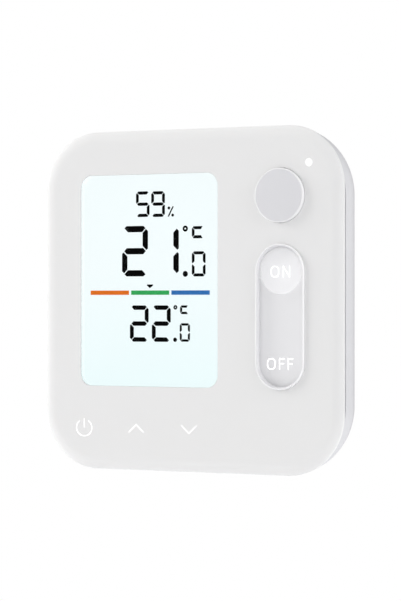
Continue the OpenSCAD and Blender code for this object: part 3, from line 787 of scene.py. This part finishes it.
# translucent white windows in the cover's back print, lit from inside
legend_light, legend_shader = plastic("lit_white_legend", "#FFFFFF", "#FDFDFD", 0.35, 0.5, 0.0)
lit(legend_shader, "#FFFFFF", 0.55)
piece("touch_legends", legend, legend_light, "head", sharp=30, even=False)

# ---- Slide switch ----
# A raised rim stands in the oval opening, with a shallow dished channel in it. The round
# thumb slides down the channel on two legs that pass through its edges and carry a small
# carriage, whose gilt wipers run on tracks of the board. ON and OFF are lit in the channel.
RIM_R, RIM_TOP = 7.05, -0.7
crown = [(x, RUN, t) for x, t in roll(RIM_R - 0.36, RIM_TOP + 0.36, 0.36, 0, -90, 9)]
brow = [(x, RUN, t) for x, t in roll(6.69, RIM_TOP + 0.08, 0.08, -90, -148, 5)][1:]
rim_line = ([(RIM_R, RUN, 0.65)] + crown + brow
            + [(6.25, RUN, 0.33), (6.3, RUN, 0.4), (6.55, RUN, 0.5), (6.82, RUN, 0.5),
               (6.82, RUN, 0.72), (6.84, LOW_RUN, 0.78), (6.8, LOW_RUN, 2.9), (6.9, LOW_RUN, 3.0),
               (7.7, LOW_RUN, 3.0), (7.8, LOW_RUN, 2.9), (7.8, LOW_RUN, 0.65)])
loops = [oval(r, run, t, 40, *SWITCH_AT) for r, run, t in rim_line]
rim = solid([(None, loops + [loops[0]], None)])
# the rim's crown is toned whiter than the cover: a painted highlight along the edge that catches
# the lamp
rim_plastic, rim_shader = plastic("white_polycarbonate_rim", "#FBFBFC", "#F9F9FA", 0.3, 0.5, 0.002,
                                  0.16)


def away_from(tree, at):
    """The way from an axis at (x, z), given in mm, to a point of the object."""
    return add(tree, "ShaderNodeVectorMath", {0: spot(tree), 1: (at[0] * MM, 0, at[1] * MM)},
               operation="SUBTRACT").outputs[0]


# painted shade: its inner slope, turned away from the lamp, is painted a shade greyer than its
# crown
tree = rim_plastic.node_tree
parts = add(tree, "ShaderNodeSeparateXYZ", {"Vector": away_from(tree, SWITCH_AT)})
past = calc(tree, "SUBTRACT", calc(tree, "ABSOLUTE", parts.outputs["Z"]), RUN * MM)
flat = add(tree, "ShaderNodeCombineXYZ",
           {"X": parts.outputs["X"], "Z": calc(tree, "MAXIMUM", past, 0.0)})
out = add(tree, "ShaderNodeVectorMath", {0: flat.outputs[0]}, operation="LENGTH")
smooth = ramp(tree, out.outputs["Value"], 6.62 * MM, 6.74 * MM)
plain = rim_shader.inputs["Base Color"].links[0].from_socket
feed(rim_shader, {"Base Color": blend(tree, smooth, "#E4E4E6", plain)})
piece("switch_surround", rim, rim_plastic, "head", ["switch_rim"], sharp=35)

# the channel: its floor sinks evenly towards the middle line
TRAY_R = 6.78
DISH_R, DISH_FLAT = 51.6, 51.3
FLOOR_T, TRAY_BACK = 0.85, 1.8
COLUMNS = 14


def sunk(x):
    """How far (mm) the channel's floor lies below its edge, x from the middle line."""
    return max(0.0, math.sqrt(DISH_R ** 2 - x * x) - DISH_FLAT)


tray = bmesh.new()
front, rear = [], []
for i in range(COLUMNS + 1):
    x = TRAY_R * math.sin(math.radians(-90 + 180 * i / COLUMNS))
    end = LOW_RUN + math.sqrt(max(0.0, TRAY_R ** 2 - x * x))
    for face, t in ((front, FLOOR_T + sunk(x)), (rear, TRAY_BACK)):
        face.append([tray.verts.new(((SWITCH_AT[0] + x) * MM, deep(t),
                                     (SWITCH_AT[1] + k * end) * MM)) for k in (-1, 1)])
for i in range(COLUMNS):
    for a, b in ((front[i], front[i + 1]), (rear[i + 1], rear[i])):
        tray.faces.new((a[0], b[0], b[1], a[1]))
    for k in (0, 1):
        tray.faces.new((front[i][k], front[i + 1][k], rear[i + 1][k], rear[i][k]))
tray_plastic, tray_shader = plastic("white_polycarbonate_channel", "#F0F0F1", "#EEEEF0", 0.38, 0.4,
                                    0.003)
# a faint glow over the channel floor: painted light that lifts the shade inside the recess
lit(tray_shader, "#FFFFFF", 0.05)
piece("switch_channel", tray, tray_plastic, "head", ["switch_tray"], sharp=40)

WORD_T = (0.0, 0.05)
WORD_X, ON_Z, OFF_Z = 26.65, 7.43, -16.33
CAP = 2.72
words = bmesh.new()


def letter(kind, x, z, w):
    """Draws one letter of the two words, w wide, centred at (x, z)."""
    left, right, low, high = x - w / 2, x + w / 2, z - CAP / 2, z + CAP / 2
    if kind == "O":
        turns = [math.radians(a) for a in range(0, 360, 12)]
        bow = [(x + w / 2 * math.copysign(abs(math.cos(a)) ** 0.8, math.cos(a)),
                z + CAP / 2 * math.copysign(abs(math.sin(a)) ** 0.8, math.sin(a))) for a in turns]
        stroke(words, bow, STROKE, *WORD_T, closed=True)
    if kind == "N":
        stroke(words, [(left, low), (left, high), (right, low), (right, high)], STROKE, *WORD_T)
    if kind == "F":
        stroke(words, [(left, low), (left, high), (right, high)], STROKE, *WORD_T)
        stroke(words, [(left + 0.2, z + 0.1), (right - 0.2, z + 0.1)], STROKE, *WORD_T,
               caps=(False, True))


for kind, dx, z, w in (("O", -1.6, ON_Z, 2.2), ("N", 1.75, ON_Z, 1.85),
                       ("O", -2.6, OFF_Z, 2.2), ("F", 0.45, OFF_Z, 1.4), ("F", 3.0, OFF_Z, 1.4)):
    letter(kind, WORD_X + dx, z, w)
for vertex in words.verts:
    # the letters lie on the dished floor, a hair proud of it
    vertex.co.y += (FLOOR_T - 0.025 + sunk(vertex.co.x / MM - SWITCH_AT[0])) * MM
# translucent white letters in the channel, lit more strongly so that they show through the thumb
word_light, word_shader = plastic("lit_white_words", "#FFFFFF", "#FDFDFD", 0.35, 0.5, 0.0)
lit(word_shader, "#FFFFFF", 1.1)
piece("switch_words", words, word_light, "head", sharp=30, even=False)

# the thumb: a round button of frosted clear plastic with a shallow finger dish; the lit word
# under it shows through
THUMB_Z = SWITCH_AT[1] + RUN
THUMB_UNDER = 0.75
FINGER_R = 36.5
dip = math.degrees(math.asin(5.5 / FINGER_R))
dish = roll(0, THUMB_UNDER - 37.06, FINGER_R, 90, 90 - dip, 10)[1:]
thumb_line = (dish + roll(5.72, THUMB_UNDER - 0.69, 0.28, -70, 0, 6)
              + [(6.0, 0.65), (5.9, THUMB_UNDER)])
thumb = solid([("shut", [oval(x, 0, t, 48, SWITCH_AT[0], THUMB_Z) for x, t in thumb_line], "shut")])
for side in (-1, 1):
    # legs: a foot along the underside, a long blade, and a catch at its end
    for x0, x1, t0, t1 in ((5.85, 6.7, 0.56, 0.74), (6.3, 6.7, 0.74, 5.5), (5.5, 6.3, 5.06, 5.5)):
        middle = SWITCH_AT[0] + side * (x0 + x1) / 2
        leg = solid([("shut", [rounded((x1 - x0) / 2, 2, 0.08, t, 3, middle, THUMB_Z)
                               for t in (t0, t1)], "shut")])
        spare_mesh = bpy.data.meshes.new("leg")
        leg.to_mesh(spare_mesh)
        leg.free()
        thumb.from_mesh(spare_mesh)
        bpy.data.meshes.remove(spare_mesh)
# frosted polycarbonate, a little milky: most of what lies behind shows through
milky, milky_shader = plastic("frosted_clear_polycarbonate", "#F8F8F9", "#F5F5F7", 0.35, 0.4, 0.004)
feed(milky_shader, {"Alpha": 0.2})
# a faint glow of its own: painted light that brightens the disc
lit(milky_shader, "#FFFFFF", 0.2)
piece("switch_button", thumb, milky, "slider", ["switch_thumb"], sharp=35)

# acetal carriage: grey, waxy, self-lubricating
acetal, _ = plastic("grey_acetal", "#8B8E91", "#808387", 0.4, 0.4, 0.004, 0.1)
dress("switch_carriage", acetal, 0.15)
# gilt phosphor bronze wipers and tracks
gilt = metal("gilt_phosphor_bronze", "#E3C277", "#CBA75B", 0.28, 0.1, (1, 1, 0.2))
dress("switch_wiper", gilt)
dress("switch_tracks", gilt)

# ---- Dial ----
# A flat disc that stands just clear of the face. It is pressed on the flat of the encoder's
# shaft, turns without a stop in soft clicks, and is pushed in to confirm.
KNOB_R = 7.05
KNOB_FRONT = -1.2
CROWN = 0.14
cap_line = [(r, KNOB_FRONT + CROWN * (r / 6.6) ** 2) for r in (0.4, 1.6, 2.8, 4.0, 5.0, 5.8, 6.4)]
cap_line += roll(KNOB_R - 0.45, KNOB_FRONT + CROWN + 0.45, 0.45, -86, 0, 10)
cap_line += [(KNOB_R, 1.3), (KNOB_R - 0.1, 1.4), (6.15, 1.4), (6.05, 1.3), (6.05, -0.2)]
cap_chains = [("shut", [oval(r, 0, t, 64, *DIAL_AT) for r, t in cap_line], "ceiling")]


def keyed(r, flat, t, n=40):
    """A loop round a bore with one flat, flat mm above its centre."""
    turns = (2 * math.pi * i / n for i in range(n))
    return [((DIAL_AT[0] + r * math.cos(a)) * MM, deep(t),
             (DIAL_AT[1] + min(r * math.sin(a), flat)) * MM) for a in turns]


hub = ((4.2, -0.2), (4.2, 1.3), (4.1, 1.4))
hub_loops = [oval(r, 0, t, 20, *DIAL_AT) for r, t in hub]
cap_chains.append(("ceiling", hub_loops, "hub_end"))
cap_chains.append(("hub_end", [keyed(3.02, 1.52, t) for t in (1.4, -0.25)], "shut"))
# soft-touch lacquer over polycarbonate: matt, cooler and darker than the cover
lacquer, lacquer_shader = plastic("satin_lacquered_polycarbonate", "#E4E4E7", "#E2E2E5", 0.5, 0.25,
                                  0.004)
# the rolled edge is painted whiter than the lacquered face: a painted highlight ring where the edge
# catches the lamp
tree = lacquer.node_tree
flat = add(tree, "ShaderNodeVectorMath", {0: away_from(tree, DIAL_AT), 1: (1, 0, 1)},
           operation="MULTIPLY")
out = add(tree, "ShaderNodeVectorMath", {0: flat.outputs[0]}, operation="LENGTH")
# bare is the mask of that painted highlight ring
bare = ramp(tree, out.outputs["Value"], 6.68 * MM, 6.78 * MM)
tinted = lacquer_shader.inputs["Base Color"].links[0].from_socket
feed(lacquer_shader, {"Base Color": blend(tree, bare, tinted, "#F1F1F2"), "Sheen Weight": 0.1})
piece("dial_disc", solid(cap_chains), lacquer, "dial", ["dial_cap"], sharp=40)
dress("encoder_shaft", drawn_steel)
# encoder case: black PBT with a dull, mineral-filled surface
black_pbt, _ = plastic("black_pbt", "#232425", "#1B1C1D", 0.5, 0.25, 0.01)
dress("encoder_body", black_pbt)
dress("push_plunger", black_pbt)

# ---- Electronics ----
# On the back of the board: relay, mains transformer, smoothing capacitors, surge absorber,
# ceramic fuse, controller, screened radio and air sensor, all soldered through or on pads.

# relay case: blue-black epoxy-sealed polyester, glossy with a sink or two
relay_case, _ = plastic("black_polyester_relay_case", "#26292E", "#1E2126", 0.35, 0.5, 0.01)
dress("relay", relay_case, 0.2)

# transformer: black bobbin and ferrite ends round windings held by yellow polyester tape
wound, tree, shader = fresh("taped_copper_winding")
place = spot(tree)
axes = add(tree, "ShaderNodeSeparateXYZ", {"Vector": place})
from_middle = calc(tree, "ABSOLUTE", calc(tree, "SUBTRACT", axes.outputs["Z"], 21 * MM))
is_tape = calc(tree, "LESS_THAN", from_middle, 5.61 * MM)
turns = add(tree, "ShaderNodeTexWave", {"Vector": place, "Scale": 0.314 / (0.5 * MM),
            "Distortion": 0.3}, bands_direction="Z")
tape = blend(tree, turns.outputs["Fac"], "#D9A92B", "#E9BE42")
ridge = add(tree, "ShaderNodeBump", {"Height": turns.outputs["Fac"], "Strength": 0.7,
            "Distance": 0.05 * MM})
feed(shader, {"Base Color": blend(tree, is_tape, "#2B2B2D", tape), "Normal": ridge.outputs[0],
              "Roughness": 0.38})
dress("transformer", wound)

# capacitor sleeve: shrunk dark blue vinyl with a pale stripe, open over the bare aluminium end
sleeve, sleeve_shader = plastic("shrunk_vinyl_sleeve", "#1E2B4C", "#19243F", 0.3, 1.2, 0.02)
tree = sleeve.node_tree
axes = add(tree, "ShaderNodeSeparateXYZ", {"Vector": spot(tree)})
side_on = calc(tree, "GREATER_THAN", axes.outputs["X"], 26.9 * MM)
end_on = calc(tree, "GREATER_THAN", axes.outputs["Y"], deep(16.3))
stripe = blend(tree, side_on, "#1E2B4C", "#C9CDD6")
feed(sleeve_shader, {"Base Color": blend(tree, end_on, stripe, "#C4C6C9"), "Metallic": end_on})
dress("filter_capacitors", sleeve)

# dipped epoxy on the surge absorber: blue, glossy, slightly lumpy
resin, _ = plastic("dipped_blue_epoxy", "#2F5F9E", "#28548F", 0.25, 1.0, 0.05)
dress("surge_block", resin, 0.3)
# fuse: a fired ceramic tube between plated end caps
ceramic, ceramic_shader = plastic("fired_ceramic_tube", "#E4DAC4", "#D8CCB2", 0.5, 0.3, 0.006)
tree = ceramic.node_tree
axes = add(tree, "ShaderNodeSeparateXYZ", {"Vector": spot(tree)})
away = calc(tree, "ABSOLUTE", calc(tree, "ADD", axes.outputs["X"], 5 * MM))
is_cap = calc(tree, "GREATER_THAN", away, 3.49 * MM)
feed(ceramic_shader, {"Base Color": blend(tree, is_cap, "#E0D6BF", "#CFC9B8"), "Metallic": is_cap})
dress("fuse", ceramic)
# moulded epoxy chip packages, matt black; the radio's pressed tin-plated screen
chip_epoxy, _ = plastic("moulded_chip_epoxy", "#1F2021", "#191A1B", 0.6, 0.2, 0.012)
dress("controller_chip", chip_epoxy)
dress("air_sensor", chip_epoxy, 0.05)
screen_steel = metal("tin_plated_screen", "#CDD0D2", "#B7BABD", 0.35, 0.15, (1, 1, 0.2))
dress("radio_module", screen_steel, 0.15)
# sprung contacts: phosphor bronze with a gilt flash
dress("contact_springs", gilt)

# solder joints: small bright cones where each part's legs come through the board
joints_tree, given = grow_tree("solder_joints", {"Geometry": "Geometry", "Foot": "Float",
                               "Height": "Float", "Metal": "Material"})
cone = add(joints_tree, "GeometryNodeMeshCone", {"Vertices": 10, "Radius Top": 0.2 * MM,
           "Radius Bottom": given.outputs["Foot"], "Depth": given.outputs["Height"]})
facing = add(joints_tree, "GeometryNodeTransform", {"Geometry": cone.outputs[0],
             "Rotation": (math.radians(90), 0, 0)})
beads = add(joints_tree, "GeometryNodeInstanceOnPoints", {"Points": given.outputs["Geometry"],
            "Instance": facing.outputs[0]})
real = add(joints_tree, "GeometryNodeRealizeInstances", {"Geometry": beads.outputs[0]})
coat = add(joints_tree, "GeometryNodeSetMaterial", {"Geometry": real.outputs[0],
           "Material": given.outputs["Metal"]})
add(joints_tree, "NodeGroupOutput", {"Geometry": coat.outputs[0]})
legs = [(-21 + x, 20 + z) for x in (-7.5, 0, 7.5) for z in (-5.5, 5.5)]
legs += [(4 + x, 21 + z) for x in (-6, -2, 2, 6) for z in (-7.2, 7.2)]
legs += [(24 + x, 16) for x in (-1.75, 1.75)] + [(-24 + x, 3) for x in (-3.75, 3.75)]
legs += [(-10, 3), (0, 3)]
points = bpy.data.meshes.new("solder_joints")
BOARD_BACK, JOINT_SUNK = 6.9, 0.3
points.from_pydata([(x * MM, deep(BOARD_BACK - JOINT_SUNK), z * MM) for x, z in legs], [], [])
solder = bpy.data.objects.new("solder_joints", points)
scene.collection.objects.link(solder)
# reflowed tin: bright, with a slightly frosted skin
tin = metal("reflowed_tin_solder", "#D3D5D7", "#BCBEC1", 0.25, 0.3)
grow(solder, joints_tree, {"Foot": 0.75 * MM, "Height": 0.6 * MM, "Metal": tin})
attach(solder, "head")

# ---- Overall size ----
low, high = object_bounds()
